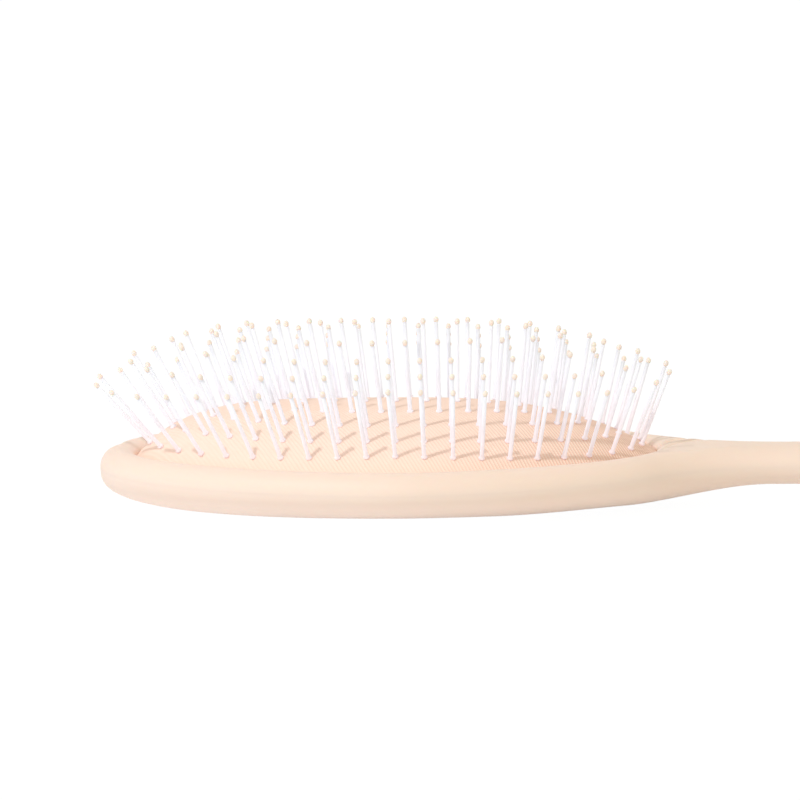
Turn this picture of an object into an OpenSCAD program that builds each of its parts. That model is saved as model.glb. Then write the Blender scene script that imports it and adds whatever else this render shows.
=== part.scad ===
// Detangling brush: hollow two-shell body, air cushion and individual ball-tipped pins.
// The handle runs along +X, the pins point up +Z, and the brush rests on z = 0.
// x = 0 and y = 0 are the middle of the cushion.

/* [Cushion] */
// Half of the cushion's length, from its middle to either end
cushion_half_l = 53; // [46:0.5:58]
// Half of the cushion's greatest width
cushion_half_w = 28; // [24:0.5:32]
// Height of the inflated dome above the cushion's edge
dome_h = 10.4; // [7:0.2:12]
// Thickness of the rubber
cushion_t = 1.8; // [1.4:0.1:2.2]
// Thickness of the rubber at the foot of the dome
foot_t = 1; // [0.8:0.1:1.2]
// How far the flange reaches out under the lip of the mouth
flange_w = 2.4; // [2:0.1:2.8]
// Thickness of the flange
flange_t = 1.6; // [1.4:0.1:1.8]

/* [Head] */
// Height of the cushion's edge above the surface the brush rests on
head_depth = 11.4; // [11:0.1:13]
// Width of the rim from the cushion's edge to the outside of the head
rim_w = 7.4; // [6.5:0.1:8.5]
// How far the rim's crest lies outside the cushion's edge
crest_out = 3.5; // [3:0.1:4]
// Height of the rim's crest above the cushion's edge
crest_h = 1.3; // [1:0.1:1.5]
// How far below the cushion's edge the head is widest
widest_drop = 2.5; // [2:0.1:2.5]
// Wall of both shells
wall = 2.2; // [2:0.1:2.4]
// Depth ground off the belly to leave the flat it rests on
belly_flat = 0.2; // [0.1:0.05:0.4]
// Thickness of the wall that carries the cushion's flange
seat_wall_t = 2; // [1.6:0.1:2.4]

/* [Handle] */
// End of the handle, from the middle of the cushion
handle_end_x = 174.7; // [165:0.5:190]
// Where the head has drawn in to the slim neck
neck_x = 80; // [76:1:86]
// Half of the neck's width
neck_half_w = 6.3; // [5.5:0.1:7.5]
// Height of the neck's underside above the resting surface
neck_rise = 4.4; // [4:0.1:4.8]
// Where the grip is fullest
grip_x = 138; // [130:1:144]
// Half of the grip's width
grip_half_w = 11; // [9:0.5:13]
// Height of the grip's top above the resting surface
grip_top = 14; // [13.4:0.1:15]
// Length of the rounded end of the handle
end_round_l = 25; // [20:1:30]
// Thickness of the stiffening ribs across the handle
rib_t = 1.2; // [1:0.1:1.6]
// Distance from one stiffening rib to the next
rib_pitch = 12; // [10:0.5:14]
// Diameter of the posts that line the shells up
post_d = 4.4; // [4:0.1:5]
// Diameter of the spigot on top of each post
spigot_d = 2.2; // [2:0.1:2.6]
// Height of the spigot
spigot_h = 1.2; // [1:0.1:1.4]

/* [Pins] */
// Distance from one pin to the next round a ring
pin_pitch = 5.7; // [5.5:0.05:6.5]
// Height of a tip's middle above the cushion, along the pin
pin_l = 16.5; // [14:0.5:19]
// Diameter of the stem where it leaves the collar
stem_d = 1; // [0.9:0.05:1.1]
// Diameter of the stem where it meets the tip
stem_top_d = 0.76; // [0.7:0.02:0.8]
// Diameter of the stem's end inside the tip
stem_end_d = 0.7; // [0.6:0.02:0.7]
// Diameter of the collar that sits on the cushion
collar_d = 1.76; // [1.6:0.02:1.9]
// Height of the collar
collar_h = 0.5; // [0.4:0.05:0.7]
// Diameter of the head that holds the pin under the cushion
pin_head_d = 2.2; // [2:0.1:2.4]
// Thickness of that head
pin_head_t = 0.6; // [0.5:0.05:0.8]
// Diameter of the bead on the tip
tip_d = 1.3; // [1.2:0.02:1.5]

/* [Clearances] */
// Space round a pin in its hole in the rubber
hole_gap = 0.09; // [0.08:0.01:0.12]
// Space between a collar and the rubber under it
seat_gap = 0.3; // [0.25:0.01:0.35]
// Space between a pin's head and the rubber over it
head_gap = 0.6; // [0.55:0.01:0.7]
// Space round the cushion's flange and the spigots
fit_gap = 0.1; // [0.08:0.01:0.15]
// Space between a stem's end and its socket in the tip
tip_gap = 0.02; // [0.01:0.005:0.03]

/* [Hidden] */

peach = [1, 0.91, 0.84];
rubber_peach = [0.98, 0.86, 0.77];
nylon_white = [0.96, 0.94, 0.97];
bead_peach = [0.98, 0.82, 0.7];

// Extra length of every cut
overrun = 1;
// Powers of the outline, fuller at the toe and leaner at the neck
toe_power = 1.8;
neck_power = 1.55;
// Powers of the dome's fall along and across the cushion
dome_toe_power = 5.2;
dome_neck_power = 3;
dome_side_power = 2.44;
// Power of the belly's rise at the toe
belly_power = 3.2;
// Power of the handle's rounded end
end_power = 2.2;

// Points round an outline, round a cross-section's lower and upper quarters, and round the bevel
outline_n = 64;
lower_n = 8;
upper_n = 4;
bevel_n = 4;
// Sides of a hole in the rubber, of a post and of a pin
hole_n = 6;
post_n = 16;
round_n = 32;
// Cross-sections of the toe, of the head and throat, of the handle and of its rounded end
toe_n = 10;
head_n = 15;
handle_n = 6;
end_n = 7;
// How the cross-sections crowd together towards either end
pole_power = 1.2;
// Degrees between the points that a ring's length is measured along
run_step = 3;

// Toe and neck halves of a ring
toe = -1;
neck = 1;
// Rings of pins from the rim inwards, as shares of the cushion's half-length and half-width
outer = 0;
second = 1;
third = 2;
inner = 3;
ring_length_shares = [0.947, 0.86, 0.735, 0.61];
ring_width_shares = [0.86, 0.725, 0.55, 0.325];
// Powers of a ring's outline, squarer than the cushion's own
ring_toe_power = 2.2;
ring_neck_power = 2;
// Where each ring's first pin stands, as a share of the pitch past the toe
ring_start_shares = [0.5, 0.5, 0, 0.5];
centre_length_share = 0.47;

// The pins' lean: the sine of the angle along the brush and across it
lean_run_share = 0.371;
lean_upright_share = 0.226;
lean_toe_share = 0.33;
lean_neck_share = 0.1;
lean_side_share = 0.48;
lean_side_reach_share = 0.56;
lean_ends_power = 7;
// Height of a collar's straight side, as a share of its whole height
collar_side_share = 0.6;

// Bays between two ribs, counted from the neck, that hold the first and the last post
first_post_bay = 2;
last_post_bay = 4;
// Straight part of a spigot and the width of its top, as shares of its height and diameter
spigot_side_share = 0.7;
spigot_top_share = 0.7;

edge_z = head_depth;
widest_z = edge_z - widest_drop;
crest_z = edge_z + crest_h;
lip_z = crest_z - wall;
seam_z = lip_z - flange_t - 2 * fit_gap;
head_half_l = cushion_half_l + rim_w;
head_half_w = cushion_half_w + rim_w;

// Places along the brush, as shares of the head's half-length
belly_toe_x = -0.1 * head_half_l;
belly_neck_x = 0.33 * head_half_l;
belly_end_x = 0.83 * head_half_l;
throat_x = 0.76 * head_half_l;
join_x = 0.865 * head_half_l;
rise_end_x = neck_x - rim_w / 2;
end_x = handle_end_x - end_round_l;
// How far the belly has risen before the neck begins, as a share of the neck's rise
belly_rise_share = 0.205;
// Width of the flat top of a cross-section, as a share of its whole width
neck_top_share = 0.2;
// Smallest cross-section, as a share of the wall
pole_share = 0.2;

function smooth(t) = let (c = min(1, max(0, t))) c * c * (3 - 2 * c);
function step(x, from, to) = smooth((x - from) / (to - from));

// Side of the brush that angle t round an outline lies on, and 0 at its two ends
function side_at(t) = t % 180 == 0 ? 0 : t < 180 ? -1 : 1;

// Middle of a list of points
function mean(points) = [for (k = [0:2]) [for (p = points) p[k]] * [for (p = points) 1] / len(points)];

// Half-width of an oval with half-length a and half-width b, at x, with its powers either side
function oval_w(x, a, b, toe_side = toe_power, neck_side = neck_power) =
    b * sqrt(max(0, 1 - pow(min(1, abs(x) / a), x < 0 ? toe_side : neck_side)));

// Slope of that half-width on the neck side
function oval_slope(x, a, b) =
    -b * neck_power / (2 * a) * pow(x / a, neck_power - 1) / sqrt(1 - pow(x / a, neck_power));

// Points round an oval that is grow larger than the cushion, each way
function oval(grow, n = outline_n) = [
    for (j = [0:n - 1])
        let (t = 360 * j / n, x = -(cushion_half_l + grow) * cos(t))
        [x, side_at(t) * oval_w(x, cushion_half_l + grow, cushion_half_w + grow)]
];

// Height of the dome above the cushion's edge
function dome(x, y) =
    let (w = oval_w(x, cushion_half_l, cushion_half_w))
    w <= 0 || abs(y) >= w ? 0
        : dome_h * (1 - pow(abs(x) / cushion_half_l, x < 0 ? dome_toe_power : dome_neck_power))
            * (1 - pow(abs(y) / w, dome_side_power));

// Share of the grip's fullness reached at x, and how far the rounded end has closed
function grip(x) = step(x, neck_x, grip_x);
function end_share(x) =
    x <= end_x ? 1 : sqrt(max(0, 1 - pow((x - end_x) / end_round_l, end_power)));

// Half-width of the whole body at x: the head's oval, a smooth throat, the neck and the grip
function throat_w(x) =
    let (
        run = neck_x - join_x,
        t = (x - join_x) / run,
        w = oval_w(join_x, head_half_l, head_half_w),
        slope = oval_slope(join_x, head_half_l, head_half_w) * run
    )
    w + t * slope + t * t * (3 * (neck_half_w - w) - 2 * slope)
        + t * t * t * (slope - 2 * (neck_half_w - w));
function body_w(x) =
    x <= join_x ? oval_w(x, head_half_l, head_half_w)
        : x <= neck_x ? throat_w(x)
        : (neck_half_w + (grip_half_w - neck_half_w) * grip(x)) * end_share(x);

// Half-width of the rim's crest, which becomes the flat top of the neck and handle
function crest_w(x) =
    let (
        a = cushion_half_l + crest_out,
        b = cushion_half_w + crest_out,
        join_share = oval_w(join_x, a, b) / oval_w(join_x, head_half_l, head_half_w)
    )
    x <= join_x ? oval_w(x, a, b)
        : body_w(x) * (join_share + (neck_top_share - join_share) * step(x, join_x, neck_x));

// Height of the widest line, of the top and of the underside at x
function middle_z(x) = widest_z - (widest_z - grip_top / 2) * grip(x);
function top_z(x) =
    x < -cushion_half_l - crest_out
        ? widest_z + (crest_z - widest_z)
            * sqrt(max(0, 1 - pow((-x - cushion_half_l - crest_out) / (rim_w - crest_out), 2)))
        : middle_z(x) + (crest_z + (grip_top - crest_z) * grip(x) - middle_z(x)) * end_share(x);
function toe_drop(x) =
    pow(max(0, 1 - pow((belly_toe_x - x) / (belly_toe_x + head_half_l), belly_power)), 1 / belly_power);
function bottom_z(x) =
    x < belly_toe_x ? widest_z - (widest_z + belly_flat) * toe_drop(x)
        : x <= neck_x
        ? (belly_flat + neck_rise * belly_rise_share) * step(x, belly_neck_x, belly_end_x) - belly_flat
            + neck_rise * (1 - belly_rise_share) * step(x, throat_x, rise_end_x)
        : middle_z(x) - (middle_z(x) - neck_rise * (1 - grip(x))) * end_share(x);

// A cross-section of the body at x, with everything drawn in by inset
function section(x, inset) =
    let (
        w = max(pole_share * wall, body_w(x) - inset),
        c = max(pole_share * w, min(crest_w(x), w - pole_share * wall) - inset / 2),
        low = min(middle_z(x) - pole_share * wall, bottom_z(x) + inset),
        high = max(middle_z(x) + pole_share * wall, top_z(x) - inset),
        mid = middle_z(x),
        half = [
            for (i = [0:lower_n]) let (t = 90 * i / lower_n) [w * sin(t), mid - (mid - low) * cos(t)],
            for (i = [1:upper_n])
                let (t = 90 * i / upper_n) [c + (w - c) * cos(t), mid + (high - mid) * sin(t)]
        ]
    )
    [
        for (p = half) [x, p[0], p[1]],
        [x, 0, high],
        for (i = [len(half) - 1:-1:1]) [x, -half[i][0], half[i][1]]
    ];

// A closed skin through rings of points; a loop joins the last ring to the first,
// and otherwise both ends close on the middle of their ring
module skin(rings, loop = false) {
    n = len(rings[0]);
    m = len(rings);
    ends = loop ? [] : [mean(rings[0]), mean(rings[m - 1])];
    points = concat([for (r = rings) each r], ends);
    sides = [
        for (i = [0:loop ? m - 1 : m - 2], j = [0:n - 1])
            let (
                a = i * n + j,
                b = i * n + (j + 1) % n,
                c = (i + 1) % m * n + (j + 1) % n,
                d = (i + 1) % m * n + j
            )
            each [[a, c, b], [a, d, c]]
    ];
    caps = loop ? [] : [
        for (j = [0:n - 1])
            each [[m * n, j, (j + 1) % n], [m * n + 1, (m - 1) * n + (j + 1) % n, (m - 1) * n + j]]
    ];
    polyhedron(points, concat(sides, caps));
}

// Rings of an oval at a list of [growth, height] levels
function levels(profile) = [for (l = profile) [for (p = oval(l[0])) [p[0], p[1], l[1]]]];

// Angles from a pole to the middle in n steps, closer together near the pole
function pole_angles(n) = [for (i = [0:n - 1]) 90 * pow((i + pole_share) / n, pole_power)];

// Stations along the body, closer together where it rounds off
function stations(inset) =
    let (toe_angles = pole_angles(toe_n), end_angles = pole_angles(end_n))
    concat(
        [for (t = toe_angles) -(head_half_l - inset) * cos(t)],
        [for (i = [0:head_n - 1]) neck_x * i / head_n],
        [for (i = [0:handle_n - 1]) neck_x + (end_x - neck_x) * i / handle_n],
        [for (i = [end_n - 1:-1:0]) end_x + (end_round_l - inset) * cos(end_angles[i])]
    );

module whole_body(inset = 0) {
    skin([for (x = stations(inset)) section(x, inset)]);
}

// Everything above or below the parting plane
module beyond_seam(up) {
    l = head_half_l + handle_end_x + 2 * overrun;
    w = 2 * (head_half_w + overrun);
    h = edge_z + dome_h;
    translate([-head_half_l - overrun, -w / 2, up ? seam_z : seam_z - h])
        cube([l, w, h]);
}

// The mouth of the front frame: a straight lip and a rounded bevel up to the crest
module mouth() {
    lip = 2 * fit_gap;
    skin(levels([
        [lip, seam_z - overrun],
        for (i = [0:bevel_n])
            let (t = 90 * i / bevel_n)
            [crest_out - (crest_out - lip) * cos(t), edge_z - lip + (crest_h + lip) * sin(t)],
        [crest_out, crest_z + overrun]
    ]));
}

// Stiffening ribs across the handle, each with rounded ends buried in the walls
module handle_ribs() {
    for (x = [neck_x:rib_pitch:end_x])
        hull()
            for (side = [-1, 1])
                translate([x, side * (body_w(x) - wall / 2), -overrun])
                    cylinder(h = grip_top + 2 * overrun, d = rib_t, $fn = hole_n);
}

// Places of the posts, midway between ribs of the grip
function post_places() = [
    for (bay = [first_post_bay:last_post_bay]) neck_x + rib_pitch * bay + rib_pitch / 2
];

module front_frame() {
    color(peach)
        difference() {
            whole_body();
            beyond_seam(false);
            mouth();
            difference() {
                whole_body(wall);
                handle_ribs();
                for (x = post_places())
                    hull()
                        translate([x, 0, 0])
                            cylinder(h = grip_top, d = post_d, $fn = post_n);
            }
            for (x = post_places())
                translate([x, 0, seam_z - overrun])
                    cylinder(h = overrun + spigot_h + fit_gap, d = spigot_d + 2 * fit_gap, $fn = post_n);
        }
}

// The wall that stands under the cushion's flange
module seat_wall() {
    difference() {
        linear_extrude(height = seam_z)
            polygon(oval(seat_wall_t - fit_gap));
        translate([0, 0, -overrun])
            linear_extrude(height = seam_z + 2 * overrun)
                polygon(oval(-fit_gap));
    }
}

module back_shell() {
    color(peach) {
        difference() {
            whole_body();
            beyond_seam(true);
            translate([-head_half_l, -head_half_w, -overrun])
                cube([head_half_l + handle_end_x, 2 * head_half_w, overrun]);
            difference() {
                whole_body(wall);
                seat_wall();
                handle_ribs();
                for (x = post_places())
                    translate([x, 0, 0])
                        cylinder(h = grip_top, d = post_d, $fn = post_n);
            }
        }
        for (x = post_places())
            hull() {
                translate([x, 0, seam_z - overrun])
                    cylinder(h = overrun + spigot_h * spigot_side_share, d = spigot_d, $fn = post_n);
                translate([x, 0, seam_z])
                    cylinder(h = spigot_h, d = spigot_d * spigot_top_share, $fn = post_n);
            }
    }
}

// Points of the dome's outline drawn in to a share, lowered by drop
function dome_ring(share, drop) = [
    for (p = oval(0)) let (x = p[0] * share, y = p[1] * share) [x, y, edge_z + dome(x, y) - drop]
];

module cushion() {
    top_shares = [0.95, 0.86, 0.74, 0.6, 0.44, 0.27, 0.1];
    under_shares = [0.1, 0.22, 0.34, 0.46, 0.57, 0.67, 0.76, 0.84, 0.91, 0.96];
    flange_top = lip_z - fit_gap;
    flange_low = seam_z;
    color(rubber_peach)
        difference() {
            skin(concat(
                [for (s = under_shares) dome_ring(s, cushion_t)],
                levels([
                    [-foot_t, flange_low],
                    [flange_w, flange_low],
                    [flange_w, flange_top],
                    [0, flange_top],
                    [0, edge_z]
                ]),
                [for (s = top_shares) dome_ring(s, 0)]
            ));
            for (p = all_places())
                at_pin(p)
                    hull() {
                        translate([0, 0, -cushion_t - head_gap])
                            cylinder(h = cushion_t, d = hole_d(), $fn = hole_n);
                        cylinder(h = seat_gap, d = hole_d(), $fn = hole_n);
                    }
        }
}
// Across the corners of a hole that clears a stem
function hole_d() = (stem_d + 2 * hole_gap) / cos(180 / hole_n);

// Points round ring k at even steps of length from the toe
function ring_places(k) =
    let (
        a = cushion_half_l * ring_length_shares[k],
        b = cushion_half_w * ring_width_shares[k],
        fine = [
            for (t = [0:run_step:360])
                let (x = -a * cos(t))
                [x, side_at(t) * oval_w(x, a, b, ring_toe_power, ring_neck_power)]
        ],
        run = [
            for (
                i = 0, s = 0;
                i < len(fine);
                i = i + 1, s = s + (i < len(fine) ? norm(fine[i] - fine[i - 1]) : 0)
            )
                s
        ],
        whole = run[len(run) - 1],
        count = 2 * round(whole / pin_pitch / 2),
        xs = [for (i = [0:len(run) - 1]) [run[i], fine[i][0]]],
        ys = [for (i = [0:len(run) - 1]) [run[i], fine[i][1]]]
    )
    [
        for (i = [0:count - 1])
            let (s = whole * (i + ring_start_shares[k]) / count) [lookup(s, xs), lookup(s, ys)]
    ];

// The pins of ring k on its toe or neck half
function half_ring(k, half) = [
    for (p = ring_places(k)) if (half * p[0] > 0 || (half == neck && p[0] == 0)) p
];

// The row of pins along the middle
function centre_places() =
    let (l = cushion_half_l * centre_length_share, count = floor(2 * l / pin_pitch))
    [for (i = [0:count]) [2 * l * i / count - l, 0]];
function all_places() = concat([for (k = [outer:inner]) each ring_places(k)], centre_places());

// Which way a pin at p leans, as the sines along and across the brush
function lean(p) =
    let (
        u = p[0] / cushion_half_l,
        v = min(1, abs(p[1]) / (cushion_half_w * lean_side_reach_share)),
        ends = (u < 0 ? lean_toe_share : lean_neck_share) * pow(u, lean_ends_power)
    )
    [
        lean_run_share * (u - lean_upright_share) + ends,
        sign(p[1]) * lean_side_share * (1 - (1 - v) * (1 - v))
    ];

// Stands its children at p on the dome, along the pin that leaves it there
module at_pin(p) {
    l = lean(p);
    tilt = asin(norm(l));
    translate([p[0], p[1], edge_z + dome(p[0], p[1])])
        rotate([0, tilt, atan2(l[1], l[0])])
            children();
}

// One pin: a flat head under the rubber, a neck through it, a collar on it and a tapered stem
module pin() {
    head_top = -cushion_t - head_gap;
    stem_from = seat_gap + collar_h;
    stem_to = pin_l - tip_d / 2;
    rotate_extrude($fn = round_n)
        polygon([
            [0, head_top - pin_head_t],
            [pin_head_d / 2, head_top - pin_head_t],
            [pin_head_d / 2, head_top],
            [stem_d / 2, head_top],
            [stem_d / 2, seat_gap],
            [collar_d / 2, seat_gap],
            [collar_d / 2, seat_gap + collar_h * collar_side_share],
            [stem_d / 2, stem_from],
            [stem_top_d / 2, stem_to],
            [stem_end_d / 2, stem_to],
            [stem_end_d / 2, pin_l],
            [0, pin_l]
        ]);
}

// One bead with the blind socket that takes the stem's end
module tip() {
    translate([0, 0, pin_l])
        difference() {
            sphere(d = tip_d, $fn = round_n);
            translate([0, 0, -tip_d])
                cylinder(h = tip_d + tip_gap, d = stem_end_d + 2 * tip_gap, $fn = round_n);
        }
}

module pins(places) {
    color(nylon_white)
        for (p = places)
            at_pin(p)
                pin();
}

module tips(places) {
    color(bead_peach)
        for (p = places)
            at_pin(p)
                tip();
}

front_frame();
back_shell();
cushion();
pins(half_ring(outer, toe));  // pins_outer_toe
pins(half_ring(outer, neck));  // pins_outer_neck
pins(half_ring(second, toe));  // pins_second_toe
pins(half_ring(second, neck));  // pins_second_neck
pins(half_ring(third, toe));  // pins_third_toe
pins(half_ring(third, neck));  // pins_third_neck
pins(half_ring(inner, toe));  // pins_inner_toe
pins(half_ring(inner, neck));  // pins_inner_neck
pins(centre_places());  // pins_centre
tips(half_ring(outer, toe));  // tips_outer_toe
tips(half_ring(outer, neck));  // tips_outer_neck
tips(half_ring(second, toe));  // tips_second_toe
tips(half_ring(second, neck));  // tips_second_neck
tips(half_ring(third, toe));  // tips_third_toe
tips(half_ring(third, neck));  // tips_third_neck
tips(half_ring(inner, toe));  // tips_inner_toe
tips(half_ring(inner, neck));  // tips_inner_neck
tips(centre_places());  // tips_centre
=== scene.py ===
import math

import bpy
import numpy as np
from mathutils import Matrix


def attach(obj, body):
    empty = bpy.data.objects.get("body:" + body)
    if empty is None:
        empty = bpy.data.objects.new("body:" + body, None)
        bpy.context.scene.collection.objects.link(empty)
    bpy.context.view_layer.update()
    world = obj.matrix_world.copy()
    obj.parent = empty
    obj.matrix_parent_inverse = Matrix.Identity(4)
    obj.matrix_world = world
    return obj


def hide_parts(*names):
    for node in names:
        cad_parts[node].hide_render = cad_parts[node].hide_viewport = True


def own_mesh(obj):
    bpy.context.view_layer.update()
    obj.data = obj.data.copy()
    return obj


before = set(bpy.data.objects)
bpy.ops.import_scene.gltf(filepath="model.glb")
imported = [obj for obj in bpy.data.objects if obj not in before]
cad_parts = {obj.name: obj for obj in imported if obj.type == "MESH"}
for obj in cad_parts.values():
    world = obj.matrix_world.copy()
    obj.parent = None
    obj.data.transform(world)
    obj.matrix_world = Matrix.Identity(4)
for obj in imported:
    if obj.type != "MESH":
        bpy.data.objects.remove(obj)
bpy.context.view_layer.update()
millimetre = 0.001

# The camera looks along +Y, a little down. Its shift puts the middle of the cushion where the
# photograph has it in a frame of 800 by 800.
view = {
    "aim": (0.0, 0.0, 11.4),
    "distance": 900.0,
    "elevation": 10.27,
    "roll": 0.32,
    "pixelsPerMillimetre": 4.9,
    "frame": 800,
    "aimPixel": (396.3, 451.6),
}


# The camera stands back from its aim along the line of sight, and rolls about that line.
def makeCamera():
    tilt, roll = math.radians(view["elevation"]), math.radians(view["roll"])
    sight = np.array([0.0, math.cos(tilt), -math.sin(tilt)])
    right = np.array([1.0, 0.0, 0.0])
    up = np.cross(right, sight)
    lens = bpy.data.cameras.new("photoCamera")
    lens.sensor_width = 36.0
    lens.lens = lens.sensor_width * view["distance"] * view["pixelsPerMillimetre"] / view["frame"]
    lens.shift_x = (view["frame"] / 2 - view["aimPixel"][0]) / view["frame"]
    lens.shift_y = (view["aimPixel"][1] - view["frame"] / 2) / view["frame"]
    lens.clip_end = 20.0
    camera = bpy.data.objects.new("photoCamera", lens)
    bpy.context.scene.collection.objects.link(camera)
    place = np.eye(4)
    place[:3, 0] = right * math.cos(roll) - up * math.sin(roll)
    place[:3, 1] = up * math.cos(roll) + right * math.sin(roll)
    place[:3, 2] = -sight
    place[:3, 3] = (np.array(view["aim"]) - sight * view["distance"]) * millimetre
    camera.matrix_world = Matrix(place)
    bpy.context.scene.camera = camera


makeCamera()
bpy.context.scene.view_settings.view_transform = "Standard"
print("camera placed")


# A socket in a material, so that maths on it is written as maths.
class Wire:
    def __init__(self, paint, socket):
        self.paint, self.socket = paint, socket

    def maths(self, operation, *values):
        return self.paint.node("ShaderNodeMath", {"operation": operation}, dict(enumerate(values)))

    def __add__(self, other):
        return self.maths("ADD", self, other)

    def __sub__(self, other):
        return self.maths("SUBTRACT", self, other)

    def __rsub__(self, other):
        return self.maths("SUBTRACT", other, self)

    def __mul__(self, other):
        return self.maths("MULTIPLY", self, other)

    def sine(self):
        return self.maths("SINE", self)

    def limited(self):
        return self.paint.node("ShaderNodeClamp", {}, {"Value": self})


# The nodes of one material or of the world. node() adds any node: its kind, its settings, then the
# values or wires of its sockets by name or number, and it returns the wire of one output.
class Paint:
    def __init__(self, owner, ending="ShaderNodeOutputMaterial"):
        owner.use_nodes = True
        self.owner, self.ending, self.tree = owner, ending, owner.node_tree
        self.tree.nodes.clear()

    def node(self, kind, settings=None, sockets=None, output=0):
        item = self.tree.nodes.new(kind)
        for key, value in (settings or {}).items():
            setattr(item, key, value)
        for key, value in (sockets or {}).items():
            if isinstance(value, Wire):
                self.tree.links.new(value.socket, item.inputs[key])
            else:
                item.inputs[key].default_value = value
        return Wire(self, item.outputs[output])

    def place(self):
        return self.node("ShaderNodeTexCoord", output="Object")

    def axes(self, place):
        return [self.node("ShaderNodeSeparateXYZ", {}, {0: place}, output=i) for i in range(3)]

    def noise(self, place, scale):
        sockets = {"Vector": place, "Scale": scale, "Detail": 2.0}
        return self.node("ShaderNodeTexNoise", {}, sockets)

    def blend(self, factor, first, second):
        sockets = {0: factor, 6: first, 7: second}
        return self.node("ShaderNodeMix", {"data_type": "RGBA"}, sockets, output=2)

    def bump(self, height, strength, distance):
        sockets = {"Height": height, "Strength": strength, "Distance": distance}
        return self.node("ShaderNodeBump", {}, sockets)

    def finish(self, shader):
        end = self.tree.nodes.new(self.ending)
        self.tree.links.new(shader.socket, end.inputs["Surface"])
        return self.owner

    # The shader of a piece: the constants of its look, and a roughness that wanders by its spread
    def surface(self, look, cloud, base, normal):
        spread = look["roughnessSpread"]
        rough = cloud * spread + (look["roughness"] - spread / 2)
        sockets = {"Base Color": base, "Roughness": rough, "Normal": normal, **look["sockets"]}
        return self.finish(self.node("ShaderNodeBsdfPrincipled", {}, sockets))


# A colour written as 0 to 255, as a screen shows it, turned to the linear values of a shader.
def colour(red, green, blue):
    values = np.array([red, green, blue]) / 255
    linear = np.where(values <= 0.04045, values / 12.92, ((values + 0.055) / 1.055) ** 2.4)
    return (*(float(v) for v in linear), 1.0)


# The shells: a peach soft-touch coat, satin, with the faintest orange peel.
coat = {
    "colour": colour(253, 233, 221),
    "shade": colour(250, 228, 215),
    "cloudScale": 45.0,
    "roughness": 0.52,
    "roughnessSpread": 0.08,
    "peelScale": 900.0,
    "peelStrength": 0.25,
    "peelDepth": 0.00002,
    "sockets": {
        "Specular IOR Level": 0.35,
        "Subsurface Weight": 0.12,
        "Subsurface Radius": (1.0, 0.5, 0.3),
        "Subsurface Scale": 0.002,
    },
}


def makeSoftTouch():
    paint = Paint(bpy.data.materials.new("softTouch"))
    place = paint.place()
    cloud = paint.noise(place, coat["cloudScale"])
    peel = paint.noise(place, coat["peelScale"])
    base = paint.blend(cloud, coat["colour"], coat["shade"])
    normal = paint.bump(peel, coat["peelStrength"], coat["peelDepth"])
    return paint.surface(coat, cloud, base, normal)


# The cushion: matt peach rubber with very fine slantwise ribs, whose grooves are painted darker as
# shade, more so towards the neck where the light grazes them, and a faint painted warm glow that
# lifts the red of its shadows, for the light that the thin rubber lets through.
rubber = {
    "colour": colour(255, 234, 220),
    # Painted shade in the rib grooves, deepest towards the neck
    "groove": colour(228, 184, 158),
    "cloudScale": 60.0,
    "ribPitch": 0.66,
    "ribTurn": 58.0,
    "ribStrength": 1.0,
    "ribDepth": 0.00016,
    "ribShare": 0.08,
    "ribShareNeck": 0.62,
    "ribBumpFloor": 0.3,
    # Where the ribs' relief and their painted groove shade start to grow, in metres, and how fast
    "clearFrom": 0.004,
    "clearRate": 22,
    "roughness": 0.62,
    "roughnessSpread": 0.1,
    "sockets": {
        "Specular IOR Level": 0.3,
        # A faint painted warm glow, which lifts the red of the rubber's shadows
        "Emission Color": colour(255, 105, 62),
        "Emission Strength": 0.06,
    },
}


# The ribs are a sine across lines that are turned from the brush's length.
def makeRubber():
    paint = Paint(bpy.data.materials.new("cushionRubber"))
    place = paint.place()
    x, y = paint.axes(place)[:2]
    turn, wave = math.radians(rubber["ribTurn"]), 2 * math.pi / (rubber["ribPitch"] * millimetre)
    rib = (x * (math.sin(turn) * wave) + y * (math.cos(turn) * wave)).sine() * 0.5 + 0.5
    cloud = paint.noise(place, rubber["cloudScale"])
    towardsNeck = ((x - rubber["clearFrom"]) * rubber["clearRate"]).limited()
    depth = towardsNeck * (rubber["ribShareNeck"] - rubber["ribShare"]) + rubber["ribShare"]
    relief = rib * (depth + rubber["ribBumpFloor"])
    # The grooves are painted darker with the groove colour, as shade, by a share that grows
    # towards the neck
    base = paint.blend((1 - rib) * depth, rubber["colour"], rubber["groove"])
    normal = paint.bump(relief, rubber["ribStrength"], rubber["ribDepth"])
    return paint.surface(rubber, cloud, base, normal)


# The pins: milky white nylon with a breath of lilac, and a faint painted glow that brightens them
# a little, standing in for light from behind.
# Low down, up from footHeight in metres, a peach tint is painted on the stems for the rubber's
# light that shines up through them.
nylon = {
    "colour": colour(242, 245, 253),
    "low": colour(238, 240, 249),
    # Painted light from the rubber, low on the stems
    "foot": colour(246, 230, 232),
    "footHeight": 0.012,
    "footFade": 80.0,
    "cloudScale": 500.0,
    "roughness": 0.34,
    "roughnessSpread": 0.1,
    "bumpStrength": 0.2,
    "bumpDepth": 0.00001,
    "sockets": {
        "Alpha": 0.9,
        # A painted glow, which brightens the pins as light from behind would
        "Emission Color": colour(231, 233, 251),
        "Emission Strength": 0.18,
        "Subsurface Weight": 0.25,
        "Subsurface Radius": (1.0, 0.9, 0.95),
        "Subsurface Scale": 0.001,
    },
}


def makeNylon():
    paint = Paint(bpy.data.materials.new("pinNylon"))
    place = paint.place()
    cloud = paint.noise(place, nylon["cloudScale"])
    milky = paint.blend(cloud, nylon["colour"], nylon["low"])
    # The stems' lower part takes the painted peach light of the rubber
    rise = ((paint.axes(place)[2] - nylon["footHeight"]) * nylon["footFade"]).limited()
    base = paint.blend(rise, nylon["foot"], milky)
    normal = paint.bump(cloud, nylon["bumpStrength"], nylon["bumpDepth"])
    return paint.surface(nylon, cloud, base, normal)


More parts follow.
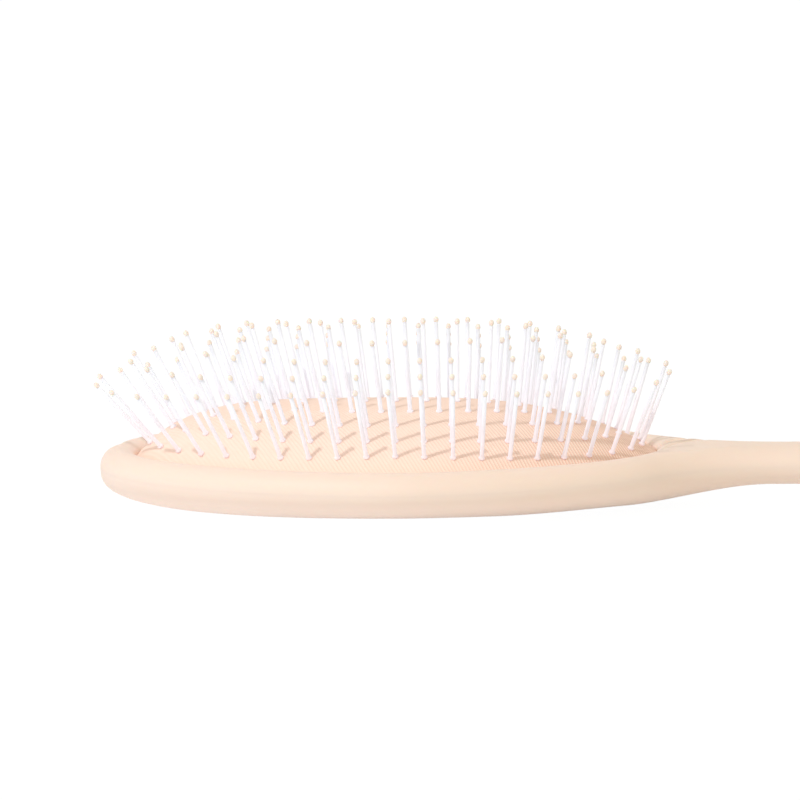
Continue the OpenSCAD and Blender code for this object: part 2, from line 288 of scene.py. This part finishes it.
# The beads: peach, dipped, a little glossier than the coat. Width and height in millimetres.
bead = {
    "colour": colour(255, 243, 236),
    "deep": colour(252, 236, 225),
    "cloudScale": 420.0,
    "roughness": 0.36,
    "roughnessSpread": 0.1,
    "bumpStrength": 0.2,
    "bumpDepth": 0.00001,
    "sockets": {
        "Subsurface Weight": 0.3,
        "Subsurface Radius": (1.0, 0.6, 0.4),
        "Subsurface Scale": 0.0008,
    },
    "width": 1.08,
    "height": 1.36,
    "sides": 10,
    "rings": 7,
}


def makeBeadPaint():
    paint = Paint(bpy.data.materials.new("beadDip"))
    cloud = paint.noise(paint.place(), bead["cloudScale"])
    base = paint.blend(cloud, bead["colour"], bead["deep"])
    normal = paint.bump(cloud, bead["bumpStrength"], bead["bumpDepth"])
    return paint.surface(bead, cloud, base, normal)


softTouch, cushionRubber = makeSoftTouch(), makeRubber()
pinNylon, beadDip = makeNylon(), makeBeadPaint()
print("materials made")

# Sizes of the whole brush in millimetres, the same as the solids have, but for the toe's drop and
# partShare, which are the scene's own. Names that end in At or From are places along the brush, as
# shares of the head's half-length.
brush = {
    "cushionHalfLength": 53.0,
    "cushionHalfWidth": 28.0,
    "domeHeight": 10.4,
    "domeToePower": 5.2,
    "domeNeckPower": 3.0,
    "domeSidePower": 2.44,
    "cushionEdge": 11.4,
    "rimWidth": 7.4,
    "outlinePowers": (1.8, 1.55),
    "crestOut": 3.5,
    "crestHeight": 1.3,
    "widestDrop": 2.5,
    "toeDrop": 0.65,
    "toeDropSpan": (30, 50),
    "bellyFlat": 0.2,
    "bellyPower": 3.2,
    "bellyToeAt": -0.1,
    "bellyRiseFrom": 0.33,
    "bellyRiseAt": 0.83,
    "throatFrom": 0.76,
    "joinAt": 0.865,
    "wall": 2.2,
    "flangeThickness": 1.6,
    "flangeWidth": 2.4,
    "fitGap": 0.1,
    "handleEnd": 174.7,
    "neck": 80.0,
    "neckHalfWidth": 6.3,
    "neckRise": 4.4,
    "gripMiddle": 138.0,
    "gripHalfWidth": 11.0,
    "gripTop": 14.0,
    "endRound": 25.0,
    "endPower": 2.2,
    "neckTopShare": 0.2,
    "bellyRiseShare": 0.205,
    "partShare": 0.6,
}
widest = brush["cushionEdge"] - brush["widestDrop"]
crest = brush["cushionEdge"] + brush["crestHeight"]
lipUnder = crest - brush["wall"]
parting = lipUnder - brush["flangeThickness"] - 2 * brush["fitGap"]
headHalfLength = brush["cushionHalfLength"] + brush["rimWidth"]
headHalfWidth = brush["cushionHalfWidth"] + brush["rimWidth"]
throatFrom, joinAt = brush["throatFrom"] * headHalfLength, brush["joinAt"] * headHalfLength
endFrom = brush["handleEnd"] - brush["endRound"]
tiny = 1e-9


# An ease from 0 to 1 as x goes between two places: t squared times (3 - 2t).
def ease(x, start, end):
    t = np.clip((x - start) / (end - start), 0, 1)
    return t * t * (3 - 2 * t)


# Half-width of an oval at x: b times the root of 1 - |x / a| to a power, one at the toe and one at
# the neck.
def ovalWidth(x, a, b, powers=brush["outlinePowers"]):
    power = np.where(x < 0, *powers)
    return b * np.sqrt(np.clip(1 - np.minimum(1, np.abs(x) / a) ** power, 0, None))


# Which side of the brush an angle round an outline lies on, and 0 at the two ends.
def sideOf(angles):
    return -np.sign(np.round(np.sin(angles), 9))


# The oval that lies grow outside the cushion's edge, at angles turned from the toe.
def ovalPoints(angles, grow):
    x = -(brush["cushionHalfLength"] + grow) * np.cos(angles)
    width = ovalWidth(x, brush["cushionHalfLength"] + grow, brush["cushionHalfWidth"] + grow)
    return x, sideOf(angles) * width


# That oval as a level ring of points at a height.
def levelRing(angles, grow, height):
    return np.stack([*ovalPoints(angles, grow), np.full(len(angles), height)], -1)


# How much lower the cushion's edge and the lip lie round the toe, where the rim stands deepest.
def edgeDrop(x):
    return brush["toeDrop"] * ease(-x, *brush["toeDropSpan"])


# Height of the dome over the cushion's edge: the height times (1 - |x / length| to a power) times
# (1 - |y / width| to a power).
def domeHeight(x, y):
    width = ovalWidth(x, brush["cushionHalfLength"], brush["cushionHalfWidth"])
    power = np.where(x < 0, brush["domeToePower"], brush["domeNeckPower"])
    along = (np.abs(x) / brush["cushionHalfLength"]) ** power
    across = np.minimum(1, np.abs(y) / np.maximum(width, tiny)) ** brush["domeSidePower"]
    return brush["domeHeight"] * np.clip(1 - along, 0, None) * (1 - across)


# How far the neck has gone over into the grip: an ease from the neck to the grip's middle.
def gripShare(x):
    return ease(x, brush["neck"], brush["gripMiddle"])


# How far the handle's rounded end has closed: the root of 1 - u to a power.
def endShare(x):
    u = np.clip((x - endFrom) / brush["endRound"], 0, 1)
    return np.sqrt(np.clip(1 - u ** brush["endPower"], 0, None))


# Half-width of the body: the head's oval, a cubic throat that leaves it smoothly, and the handle.
def bodyWidth(x):
    run = brush["neck"] - joinAt
    start = ovalWidth(joinAt, headHalfLength, headHalfWidth)
    power, ratio = brush["outlinePowers"][1], joinAt / headHalfLength
    steepness = ratio ** (power - 1) / math.sqrt(1 - ratio**power)
    slope = -headHalfWidth * power / (2 * headHalfLength) * steepness * run
    t = np.clip((x - joinAt) / run, 0, 1)
    drop = brush["neckHalfWidth"] - start
    throat = start + t * slope + t**2 * (3 * drop - 2 * slope) + t**3 * (slope - 2 * drop)
    swell = (brush["gripHalfWidth"] - brush["neckHalfWidth"]) * gripShare(x)
    handle = (brush["neckHalfWidth"] + swell) * endShare(x)
    head = ovalWidth(np.minimum(x, joinAt), headHalfLength, headHalfWidth)
    return np.where(x <= joinAt, head, np.where(x <= brush["neck"], throat, handle))


# Half-width of the rim's crest, which goes over into the narrow top of the neck.
def crestWidth(x):
    a = brush["cushionHalfLength"] + brush["crestOut"]
    b = brush["cushionHalfWidth"] + brush["crestOut"]
    share = ovalWidth(joinAt, a, b) / ovalWidth(joinAt, headHalfLength, headHalfWidth)
    share = share + (brush["neckTopShare"] - share) * ease(x, joinAt, brush["neck"])
    line = np.where(x <= joinAt, ovalWidth(x, a, b), bodyWidth(x) * share)
    return np.minimum(line, bodyWidth(x))


# Height of the widest line: level on the head and neck, then eased down to the grip's middle.
def middleHeight(x):
    return widest - (widest - brush["gripTop"] / 2) * gripShare(x)


# Height of the crest: a quarter ellipse at the toe, level round the head, and on into the grip.
def topHeight(x):
    start = brush["cushionHalfLength"] + brush["crestOut"]
    u = np.clip((-x - start) / (brush["rimWidth"] - brush["crestOut"]), 0, 1)
    toe = widest + (crest - widest) * np.sqrt(1 - u**2)
    middle = middleHeight(x)
    back = middle + (crest + (brush["gripTop"] - crest) * gripShare(x) - middle) * endShare(x)
    return np.where(x < -start, toe, back)


# Height of the underside: a rounded toe, the flat belly, two eased rises to the neck, the grip.
def bottomHeight(x):
    toeEnd = brush["bellyToeAt"] * headHalfLength
    u = np.clip((toeEnd - x) / (toeEnd + headHalfLength), 0, 1)
    power = brush["bellyPower"]
    toe = widest - (widest + brush["bellyFlat"]) * (1 - u**power) ** (1 / power)
    lift = brush["neckRise"] * brush["bellyRiseShare"]
    start, end = brush["bellyRiseFrom"] * headHalfLength, brush["bellyRiseAt"] * headHalfLength
    belly = (brush["bellyFlat"] + lift) * ease(x, start, end) - brush["bellyFlat"]
    neckStart = brush["neck"] - brush["rimWidth"] / 2
    belly = belly + (brush["neckRise"] - lift) * ease(x, throatFrom, neckStart)
    middle = middleHeight(x)
    handle = middle - (middle - brush["neckRise"] * (1 - gripShare(x))) * endShare(x)
    return np.where(x < toeEnd, toe, np.where(x <= brush["neck"], belly, handle))


# A point of the cross-section at x, turned by an angle from its widest line: a quarter ellipse up
# to the crest's width above it, and a half ellipse below it, ground flat where the brush rests.
def sectionPoint(x, angle):
    width, top, middle = bodyWidth(x), crestWidth(x), middleHeight(x)
    above = angle > 0
    y = np.where(above, top + (width - top) * np.cos(angle), width * np.cos(angle))
    z = middle + np.where(above, topHeight(x) - middle, middle - bottomHeight(x)) * np.sin(angle)
    return y, np.maximum(z, 0)


# The angle at which the cross-section meets the parting line, which keeps off the poles.
def partAngle(x):
    middle, low, high = middleHeight(x), bottomHeight(x), topHeight(x)
    share = brush["partShare"]
    part = np.clip(parting, middle - share * (middle - low), middle + share * (high - middle))
    span = np.where(part > middle, high - middle, middle - low)
    angle = np.arcsin(np.clip((part - middle) / np.maximum(span, tiny), -1, 1))
    return np.where(span > tiny, angle, 0)


# The shallow folds that fan out from the cushion's neck end over the throat. Each is a path of
# points: place along and across the brush, depth and half-width.
folds = (
    (
        (53.0, 0.0, 0.3, 0.35), (54.1, 1.1, 0.65, 0.4), (55.0, 2.4, 0.7, 0.45),
        (55.7, 3.6, 0.65, 0.5), (57.0, 5.1, 0.6, 0.55), (58.3, 6.2, 0.45, 0.6),
        (59.4, 6.8, 0.3, 0.7), (61.5, 7.6, 0.0, 0.7),
    ),
    (
        (53.9, -6.0, 0.05, 0.4), (54.4, -4.2, 0.3, 0.4), (55.6, -1.0, 0.55, 0.45),
        (57.2, 1.1, 0.55, 0.5), (59.0, 2.6, 0.5, 0.6), (60.6, 3.8, 0.4, 0.7),
        (62.3, 4.8, 0.25, 0.8), (65.0, 6.2, 0.0, 0.8),
    ),
    ((55.4, -3.7, 0.0, 0.5), (57.4, -2.1, 0.1, 0.6), (59.2, -1.1, 0.0, 0.7)),
)


# Depth of the folds at a point of the plan: the largest, over the folds, of a fold's depth times
# exp(-(r / width)^2), where r is the distance to its path.
def foldDepth(x, y):
    depth = np.zeros(np.broadcast(x, y).shape)
    for fold in folds:
        path = np.array(fold)
        for start, step in zip(path[:-1], np.diff(path, axis=0)):
            along = (x - start[0]) * step[0] + (y - start[1]) * step[1]
            t = np.clip(along / (step[:2] @ step[:2]), 0, 1)
            away = np.hypot(x - start[0] - t * step[0], y - start[1] - t * step[1])
            groove = (start[2] + t * step[2]) * np.exp(-((away / (start[3] + t * step[3])) ** 2))
            depth = np.maximum(depth, groove)
    return depth


# Height of the body's upper surface over a point of the plan.
def upperHeight(x, y):
    width, top, middle = bodyWidth(x), crestWidth(x), middleHeight(x)
    u = np.clip((np.abs(y) - top) / np.maximum(width - top, tiny), 0, 1)
    return middle + (topHeight(x) - middle) * np.sqrt(1 - u**2) - foldDepth(x, y)


# Triangles over a grid of points, rows by columns, whose rows close on themselves if asked.
def gridFaces(rows, columns, closed=False):
    r = np.arange(rows - 1)[:, None] * columns
    c = np.arange(columns if closed else columns - 1)[None, :]
    nextC = (c + 1) % columns
    a, b, d, e = r + c, r + nextC, r + columns + c, r + columns + nextC
    first, second = np.stack([a, b, e], -1), np.stack([a, e, d], -1)
    return np.concatenate([first.reshape(-1, 3), second.reshape(-1, 3)])


# Joins the points of several grids that lie in one place, to a ten-thousandth of a millimetre,
# and drops triangles that close up. Returns the points, the triangles and the number of the grid
# that each came from.
def weld(grids):
    points = np.concatenate([grid.reshape(-1, 3) for grid, faces in grids])
    starts = np.cumsum([0] + [grid.size // 3 for grid, faces in grids])
    faces = np.concatenate([faces + start for (grid, faces), start in zip(grids, starts)])
    source = np.concatenate([np.full(len(faces), i) for i, (grid, faces) in enumerate(grids)])
    keys = np.round(points * 1e4).astype(np.int64)
    first, index = np.unique(keys, axis=0, return_index=True, return_inverse=True)[1:]
    faces = index.reshape(-1)[faces]
    a, b, c = faces.T
    whole = (a != b) & (b != c) & (c != a)
    return points[first], faces[whole], source[whole]


# The normal of each triangle, as long as twice its area.
def faceNormals(points, faces):
    a, b, c = points[faces[:, 0]], points[faces[:, 1]], points[faces[:, 2]]
    return np.cross(b - a, c - a)


# Turns a grid's triangles round if most of them face away from the wanted side, 1 up or -1 down.
def facing(grid, faces, way):
    upward = faceNormals(grid.reshape(-1, 3), faces)[:, 2].sum()
    return faces if way * upward > 0 else faces[:, ::-1]


# Turns a closed surface's triangles outwards, so that the volume in it comes out above zero.
def outward(points, faces):
    volume = (points[faces[:, 0]] * faceNormals(points, faces)).sum()
    return faces if volume > 0 else faces[:, ::-1]


# Each vector divided by its length.
def unit(vectors):
    return vectors / np.maximum(np.linalg.norm(vectors, axis=-1, keepdims=True), 1e-20)


# Normals at each corner of each triangle, smooth within a group of faces and sharp between groups.
def cornerNormals(points, faces, groups):
    flat, corners = faceNormals(points, faces), np.empty((len(faces), 3, 3))
    for group in np.unique(groups):
        mine, total = groups == group, np.zeros_like(points)
        for corner in range(3):
            np.add.at(total, faces[mine, corner], flat[mine])
        corners[mine] = unit(total)[faces[mine]]
    return corners


# A mesh object from points in millimetres. Corner normals, where they are given, carry one smooth
# surface over the edge between two pieces.
def makePiece(name, points, faces, corners=None):
    mesh = bpy.data.meshes.new(name)
    mesh.vertices.add(len(points))
    mesh.vertices.foreach_set("co", (points * millimetre).astype(np.float32).ravel())
    mesh.loops.add(faces.size)
    mesh.loops.foreach_set("vertex_index", faces.astype(np.int32).ravel())
    mesh.polygons.add(len(faces))
    mesh.polygons.foreach_set("loop_start", np.arange(0, faces.size, 3, dtype=np.int32))
    mesh.update(calc_edges=True)
    mesh.polygons.foreach_set("use_smooth", np.ones(len(faces), dtype=bool))
    if corners is not None:
        mesh.normals_split_custom_set(corners.reshape(-1, 3).tolist())
    piece = bpy.data.objects.new(name, mesh)
    bpy.context.scene.collection.objects.link(piece)
    return piece


# How finely the body is drawn.
bodyGrid = {
    "toeRays": 112,
    "quarterPoints": 26,
    "topPoints": 48,
    "raySteps": 22,
    "bevelSteps": 14,
    "lowerPoints": 44,
    "throatStations": 64,
    "handleStations": 80,
    "endStations": 24,
    "throatEnd": 84.0,
    "splitAt": 58.6,
}


# Points over the cross-sections at x, from the parting line on one side to the other.
def overTop(x):
    x, top = np.atleast_1d(x)[:, None], bodyGrid["topPoints"]
    start = partAngle(x)
    rise = start + (math.pi / 2 - start) * np.linspace(0, 1, bodyGrid["quarterPoints"] + 1)
    y, z = sectionPoint(x, rise)
    flat = crestWidth(x) * np.linspace(1, -1, top + 1)[1:-1]
    y = np.concatenate([-y, -flat, y[:, ::-1]], 1)
    z = np.concatenate([z, np.repeat(topHeight(x), top - 1, 1), z[:, ::-1]], 1)
    return np.stack([np.broadcast_to(x, y.shape), y, z - foldDepth(x, y)], -1)


# Points under the cross-sections at x, from one parting line to the other.
def underBelly(x):
    x = np.atleast_1d(x)[:, None]
    start = partAngle(x)
    fall = start - (start + math.pi / 2) * np.linspace(0, 1, bodyGrid["lowerPoints"] + 1)
    y, z = sectionPoint(x, fall)
    y, z = np.concatenate([-y, y[:, -2::-1]], 1), np.concatenate([z, z[:, -2::-1]], 1)
    return np.stack([np.broadcast_to(x, y.shape), y, z], -1)


# A flat at the parting line, under or over the same stations.
def flatAcross(loops):
    flat = loops.copy()
    width, height = sectionPoint(loops[..., 0], partAngle(loops[..., 0]))
    flat[..., 1] = np.clip(loops[..., 1], -width, width)
    flat[..., 2] = height
    return flat


# The two shells' outer surfaces. On the head, rays run out from the cushion: under the lip, up the
# rounded bevel of the mouth, over the crest and down to the parting line. Behind the cushion's
# neck end, and all along the underside, the surface is carried through cross-sections.
def makeBody():
    split = bodyGrid["splitAt"]
    turn = math.acos(-split / headHalfLength)
    across = 2 * bodyGrid["quarterPoints"] + bodyGrid["topPoints"] + 1
    half = np.linspace(0, turn, bodyGrid["toeRays"] + 1)
    neckSide = np.linspace(turn, 2 * math.pi - turn, across)
    angles = np.concatenate([half[:-1], neckSide, (2 * math.pi - half[::-1])[1:-1]])
    onNeck = slice(len(half) - 1, len(half) - 1 + across)

    section = overTop(split)[0]
    crestX, crestY = ovalPoints(angles, brush["crestOut"])
    targetX = -headHalfLength * np.cos(angles)
    targetY = sideOf(angles) * bodyWidth(targetX)
    targetX[onNeck], targetY[onNeck] = split, section[:, 1]
    partY, partZ = sectionPoint(targetX, partAngle(targetX))
    rimEnd = np.stack([targetX, sideOf(angles) * partY, partZ], -1)
    rimEnd[onNeck] = section

    lip, slotOut = 2 * brush["fitGap"], brush["flangeWidth"] + brush["fitGap"]
    slotLevels, levels = ((slotOut, parting), (slotOut, lipUnder), (lip, lipUnder)), []
    for turned in np.linspace(0, math.pi / 2, bodyGrid["bevelSteps"] + 1):
        grow = brush["crestOut"] - (brush["crestOut"] - lip) * math.cos(turned)
        x, y = ovalPoints(angles, grow)
        low = brush["cushionEdge"] - lip - edgeDrop(x)
        height = low + (crest - foldDepth(x, y) - low) * math.sin(turned)
        levels.append(np.stack([x, y, height], -1))
    for turned in np.linspace(0, math.pi / 2, bodyGrid["raySteps"] + 1)[1:]:
        x = crestX + (targetX - crestX) * math.sin(turned)
        y = crestY + (targetY - crestY) * math.sin(turned)
        levels.append(np.stack([x, y, upperHeight(x, y)], -1))
    levels[-1][onNeck] = section
    levels.append(rimEnd)
    slot = np.stack([*(levelRing(angles, *level) for level in slotLevels), levels[0]])
    head = np.stack(levels)
    closing = np.stack([flatAcross(rimEnd), slot[0]])

    throat = np.linspace(split, bodyGrid["throatEnd"], bodyGrid["throatStations"] + 1)
    handle = np.linspace(bodyGrid["throatEnd"], endFrom, bodyGrid["handleStations"] + 1)
    endTurn = np.linspace(0, math.pi / 2, bodyGrid["endStations"] + 1)
    close = endFrom + brush["endRound"] * np.sin(endTurn)
    back = np.concatenate([throat, handle[1:], close[1:]])
    upperBack = overTop(back)
    lower = underBelly(np.concatenate([-headHalfLength * np.cos(half[:-1]), back]))

    # Each grid with whether it closes on itself, which way it faces, its node and its smooth group
    grids = [
        (head, True, 1, "front_frame", 0),
        (upperBack, False, 1, "front_frame", 0),
        (slot, True, -1, "front_frame", 1),
        (closing, True, -1, "front_frame", 2),
        (flatAcross(upperBack), False, -1, "front_frame", 2),
        (lower, False, -1, "back_shell", 0),
        (flatAcross(lower), False, 1, "back_shell", 3),
    ]
    faced = []
    for grid, closed, way, *rest in grids:
        faced.append((grid, facing(grid, gridFaces(*grid.shape[:2], closed), way)))
    points, faces, source = weld(faced)
    nodes, groups = (np.array([row[i] for row in grids])[source] for i in (3, 4))
    corners = cornerNormals(points, faces, groups)
    for name, node in (("frontFrame", "front_frame"), ("backShell", "back_shell")):
        mine = nodes == node
        used, index = np.unique(faces[mine], return_inverse=True)
        piece = makePiece(name, points[used], index.reshape(-1, 3), corners[mine])
        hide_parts(node)
        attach(piece, "body")
        piece.data.materials.append(softTouch)


makeBody()
print("shells made")

# How finely the cushion is drawn, and its thickness in millimetres. The domed underside reaches
# out to a share of the edge. The drop at the toe fades inwards with a high power of a ring's
# share. The top is smooth apart from the rest: its faces rise by topSlope or more, and lie over
# the flange by topOver.
cushionGrid = {
    "round": 192,
    "topRings": 56,
    "underRings": 24,
    "underReach": 0.96,
    "dropPower": 24,
    "thickness": 1.8,
    "foot": 1.0,
    "topSlope": 0.1,
    "topOver": 0.05,
}


# The cushion is drawn in rings that shrink from its edge to its middle, with the dome's height
# over each point, and closed underneath by the same rings a thickness lower and a flange.
def makeCushion():
    angles = np.linspace(0, 2 * math.pi, cushionGrid["round"] + 1)[:-1]
    edge, lowest, out = brush["cushionEdge"], parting, brush["flangeWidth"]
    flangeTop = lipUnder - brush["fitGap"]

    def domeRings(shares, thickness):
        x, y = ovalPoints(angles, 0)
        fade = edgeDrop(x) * shares[:, None] ** cushionGrid["dropPower"]
        x, y = shares[:, None] * x, shares[:, None] * y
        return np.stack([x, y, edge + domeHeight(x, y) - fade - thickness], -1)

    topShares = np.sin(np.linspace(math.pi / 2, 0, cushionGrid["topRings"] + 1))
    underShares = cushionGrid["underReach"] * np.linspace(0, 1, cushionGrid["underRings"] + 1)
    under = domeRings(underShares, cushionGrid["thickness"])
    rim = ((-cushionGrid["foot"], lowest), (out, lowest), (out, flangeTop), (0, flangeTop))
    flange = np.stack([levelRing(angles, *level) for level in rim])
    chain = np.concatenate([under, flange, domeRings(topShares, 0)])
    points, faces = weld([(chain, gridFaces(*chain.shape[:2], True))])[:2]
    faces = outward(points, faces)
    upward = unit(faceNormals(points, faces))[:, 2] > cushionGrid["topSlope"]
    onTop = upward & (points[faces][:, :, 2].mean(1) > flangeTop + cushionGrid["topOver"])
    corners = cornerNormals(points, faces, onTop.astype(int))
    piece = makePiece("airCushion", points, faces, corners)
    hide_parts("cushion")
    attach(piece, "body")
    edge * millimetre
    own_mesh(piece)
    piece.data.materials.append(cushionRubber)


makeCushion()
print("cushion made")

# The pins, in millimetres, and the rings that they stand in, from the rim inwards: shares of the
# cushion's half-length and half-width, and of the pitch that the first pin stands past the toe.
pins = {
    "pitch": 5.7,
    "length": 16.5,
    "rings": {
        "outer": (0.947, 0.86, 0.5),
        "second": (0.86, 0.725, 0.5),
        "third": (0.735, 0.55, 0.0),
        "inner": (0.61, 0.325, 0.5),
    },
    "ringPowers": (2.2, 2.0),
    "ringTurn": 3,
    "centreShare": 0.47,
    "leanAlong": 0.371,
    "uprightAt": 0.226,
    "leanToe": 0.33,
    "leanNeck": 0.1,
    "leanEndsPower": 7,
    "leanAcross": 0.48,
    "leanAcrossReach": 0.56,
    "sides": 8,
    # Height along the pin and diameter: head, neck, collar, stem
    "profile": (
        (-3.0, 0.0), (-3.0, 2.2), (-2.4, 2.2), (-2.4, 1.0), (0.02, 1.0),
        (0.02, 1.08), (0.14, 1.32), (0.36, 1.32), (0.54, 1.04),
        (0.6, 0.88), (8.0, 0.86), (15.9, 0.8), (15.9, 0.0),
    ),
}


# Places of one ring's pins, at even steps of its length from the toe.
def ringPlaces(lengthShare, widthShare, startShare):
    a, b = brush["cushionHalfLength"] * lengthShare, brush["cushionHalfWidth"] * widthShare
    angles = np.radians(np.arange(0, 361, pins["ringTurn"]))
    x = -a * np.cos(angles)
    y = sideOf(angles) * ovalWidth(x, a, b, pins["ringPowers"])
    run = np.concatenate([[0], np.cumsum(np.hypot(np.diff(x), np.diff(y)))])
    count = 2 * int(round(run[-1] / pins["pitch"] / 2))
    steps = run[-1] * (np.arange(count) + startShare) / count
    return np.stack([np.interp(steps, run, x), np.interp(steps, run, y)], -1)


# Which way a pin leans. Along the brush it goes with its place, and more at the ends, by a high
# power of it. Across the brush it leans to the nearer side, by 1 - (1 - v) squared.
def leanAt(places):
    u = places[:, 0] / brush["cushionHalfLength"]
    reach = brush["cushionHalfWidth"] * pins["leanAcrossReach"]
    v = np.minimum(1, np.abs(places[:, 1]) / reach)
    ends = np.where(u < 0, pins["leanToe"], pins["leanNeck"]) * u ** pins["leanEndsPower"]
    along = pins["leanAlong"] * (u - pins["uprightAt"]) + ends
    across = np.sign(places[:, 1]) * pins["leanAcross"] * (1 - (1 - v) ** 2)
    return np.stack([along, across, np.sqrt(1 - along**2 - across**2)], -1)


# Copies of one turned profile, a list of (height, diameter), at each place along its lean.
def turnedCopies(name, places, profile, sides):
    lean = leanAt(places)
    feet = brush["cushionEdge"] + domeHeight(places[:, 0], places[:, 1])
    base = np.column_stack([places, feet])
    side = unit(np.cross(lean, [0.0, 1.0, 0.0]))
    other = np.cross(side, lean)
    heights, radii = np.array(profile)[:, 0], np.array(profile)[:, 1] / 2
    angles = np.linspace(0, 2 * math.pi, sides + 1)[:-1][None, :, None]
    ring = np.cos(angles) * side[:, None] + np.sin(angles) * other[:, None]
    middle = base[:, None] + heights[None, :, None] * lean[:, None]
    points = middle[:, :, None] + radii[None, :, None, None] * ring[:, None]
    one, size = gridFaces(len(profile), sides, True), len(profile) * sides
    faces = (one[None] + np.arange(len(places))[:, None, None] * size).reshape(-1, 3)
    points, faces = weld([(points, faces)])[:2]
    return makePiece(name, points, outward(points, faces))


# A bead's outline: an ellipse of revolution over the stem's end.
def beadProfile():
    turned = np.linspace(-math.pi / 2, math.pi / 2, bead["rings"])
    heights = pins["length"] + bead["height"] / 2 * np.sin(turned)
    return np.stack([heights, bead["width"] * np.cos(turned)], -1)


# The centre row at even steps, then each ring's toe half and neck half, with a bead on each pin.
def makePins():
    centre = brush["cushionHalfLength"] * pins["centreShare"]
    count = int(2 * centre // pins["pitch"])
    row = 2 * centre * np.arange(count + 1) / count - centre
    groups = {"centre": np.stack([row, np.zeros(count + 1)], -1)}
    for ring, shares in pins["rings"].items():
        places = ringPlaces(*shares)
        atToe = places[:, 0] < 0
        groups[ring + "_toe"], groups[ring + "_neck"] = places[atToe], places[~atToe]
    for group, places in groups.items():
        for name, profile, sides, slot, paint in (
            ("pins", pins["profile"], pins["sides"], "pin_nylon", pinNylon),
            ("tips", beadProfile(), bead["sides"], "bead_plastic", beadDip),
        ):
            piece = turnedCopies(f"{name}.{group}", places, profile, sides)
            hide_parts(f"{name}_{group}")
            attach(piece, f"{group}_pins")
            piece.data.materials.append(paint)


makePins()
print("pins and beads made")

# The floor lights the brush from below, as a light table does: it glows at the toe's side and less
# and less towards the handle. The camera sees it white, with a little of the brush's shadow.
studio = {
    "floorSize": 6.0,
    "floorGap": 0.02,
    "floorColour": colour(250, 250, 250),
    "floorGlow": 0.24,
    "floorGlowSlope": -4.0,
    "floorWhite": 1.04,
    "shadowShare": 0.06,
    "white": (1.0, 1.0, 1.0, 1.0),
    "leftColour": (1.0, 0.985, 0.97, 1.0),
    "rightColour": (1.0, 0.92, 0.7, 1.0),
    "worldStrength": 0.68,
    # Place, aim and width in millimetres, power in watts, colour
    "lamps": {
        "keyLamp": ((-400, -710, 896), (0, 0, 12), 40, 4.5, colour(255, 253, 251)),
        "sideLamp": ((-900, -300, 130), (-60, 0, 5), 400, 0.6, colour(252, 253, 255)),
    },
}


# 1 for rays that see plain white behind the brush, which are the camera's, those of gloss and
# those through clear parts, and 0 for the rest: the largest of the three.
def seesWhite(paint):
    kinds = ("Is Camera Ray", "Is Glossy Ray", "Is Transmission Ray")
    camera, gloss, clear = [paint.node("ShaderNodeLightPath", output=kind) for kind in kinds]
    return camera.maths("MAXIMUM", camera.maths("MAXIMUM", camera, gloss), clear)


# The floor lies a hair under the brush, so that it doesn't share a plane with the ground flat.
def makeFloor():
    size, z = studio["floorSize"] / 2, -studio["floorGap"] * millimetre
    corners = [(-size, -size, z), (size, -size, z), (size, size, z), (-size, size, z)]
    mesh = bpy.data.meshes.new("floor")
    mesh.from_pydata(corners, [], [(0, 1, 2, 3)])
    floor = bpy.data.objects.new("floor", mesh)
    bpy.context.scene.collection.objects.link(floor)
    paint = Paint(bpy.data.materials.new("floorWhite"))
    seen = seesWhite(paint) * (1 - studio["shadowShare"])
    plain = paint.node("ShaderNodeBsdfDiffuse", {}, {"Color": studio["floorColour"]})
    shine = {"Color": studio["white"], "Strength": studio["floorWhite"]}
    white = paint.node("ShaderNodeEmission", {}, shine)
    along = paint.axes(paint.place())[0]
    glow = (along * studio["floorGlowSlope"] + studio["floorGlow"]).limited()
    table = paint.node("ShaderNodeMixShader", {}, {0: glow, 1: plain, 2: white})
    mixed = paint.node("ShaderNodeMixShader", {}, {0: seen, 1: table, 2: white})
    mesh.materials.append(paint.finish(mixed))


# Even light from all round, whiter from the left than from the right, with white behind the brush
# for the camera, in gloss and through clear parts.
def makeWorld():
    paint = Paint(bpy.data.worlds.new("studio"), "ShaderNodeOutputWorld")
    toRight = paint.axes(paint.node("ShaderNodeTexCoord", output="Generated"))[0] * 0.5 + 0.5
    tint = paint.blend(toRight, studio["leftColour"], studio["rightColour"])
    even = {"Color": tint, "Strength": studio["worldStrength"]}
    soft = paint.node("ShaderNodeBackground", {}, even)
    white = paint.node("ShaderNodeBackground", {}, {"Color": studio["white"], "Strength": 1.0})
    mixed = paint.node("ShaderNodeMixShader", {}, {0: seesWhite(paint), 1: soft, 2: white})
    bpy.context.scene.world = paint.finish(mixed)


# A soft round lamp that looks from its place to an aim.
def makeLamp(name, place, aim, size, power, tint):
    lamp = bpy.data.lights.new(name, "AREA")
    lamp.shape, lamp.size = "DISK", size * millimetre
    lamp.energy, lamp.color = power, tint[:3]
    holder = bpy.data.objects.new(name, lamp)
    bpy.context.scene.collection.objects.link(holder)
    place, aim = np.array(place) * millimetre, np.array(aim) * millimetre
    back = unit(place - aim)
    side = unit(np.cross([0.0, 0.0, 1.0], back))
    matrix = np.eye(4)
    matrix[:3] = np.stack([side, np.cross(back, side), back, place], -1)
    holder.matrix_world = Matrix(matrix)


makeFloor()
makeWorld()
for name, lamp in studio["lamps"].items():
    makeLamp(name, *lamp)
print("studio made")
